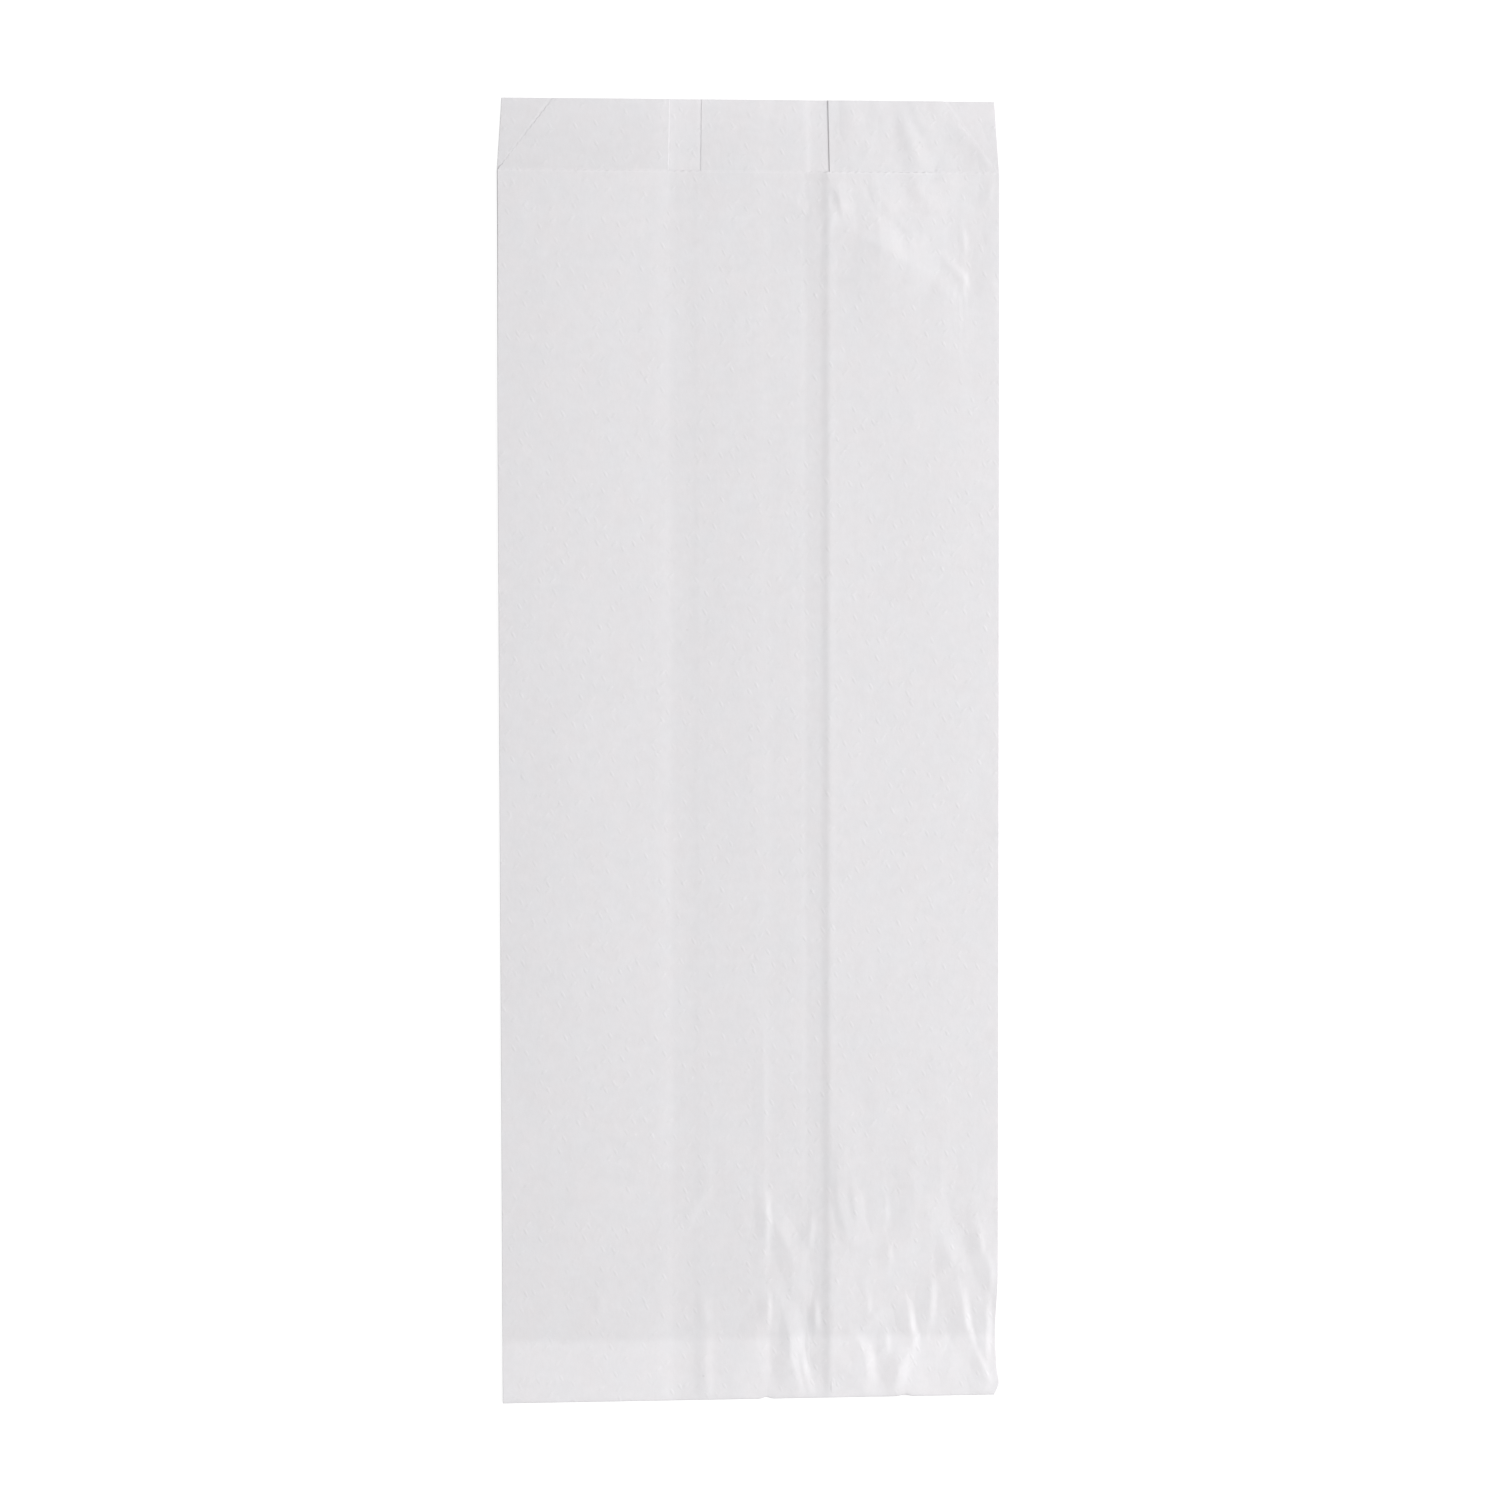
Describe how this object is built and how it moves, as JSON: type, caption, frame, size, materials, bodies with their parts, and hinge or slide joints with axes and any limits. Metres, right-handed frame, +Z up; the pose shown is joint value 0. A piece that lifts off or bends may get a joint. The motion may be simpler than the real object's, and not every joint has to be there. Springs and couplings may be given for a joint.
{
  "type": "sandwich bag",
  "caption": "Flat paper sandwich bag with side gussets, a back flap standing past the front at the open mouth, a lapped back seam and a folded bottom.",
  "frame": {"origin": "middle of the bag's box, on the surface that the bag lies on", "axes": "+Y along the bag toward its mouth, +X across it, +Z up out of the front, the bag lying on its back"},
  "size_m": [0.12, 0.312, 0.0017],
  "materials": {
    "bag_paper": "soft sheen"
  },
  "bodies": {
    "root": {"paper_bag": "bag_paper"}
  },
  "joints": []
}
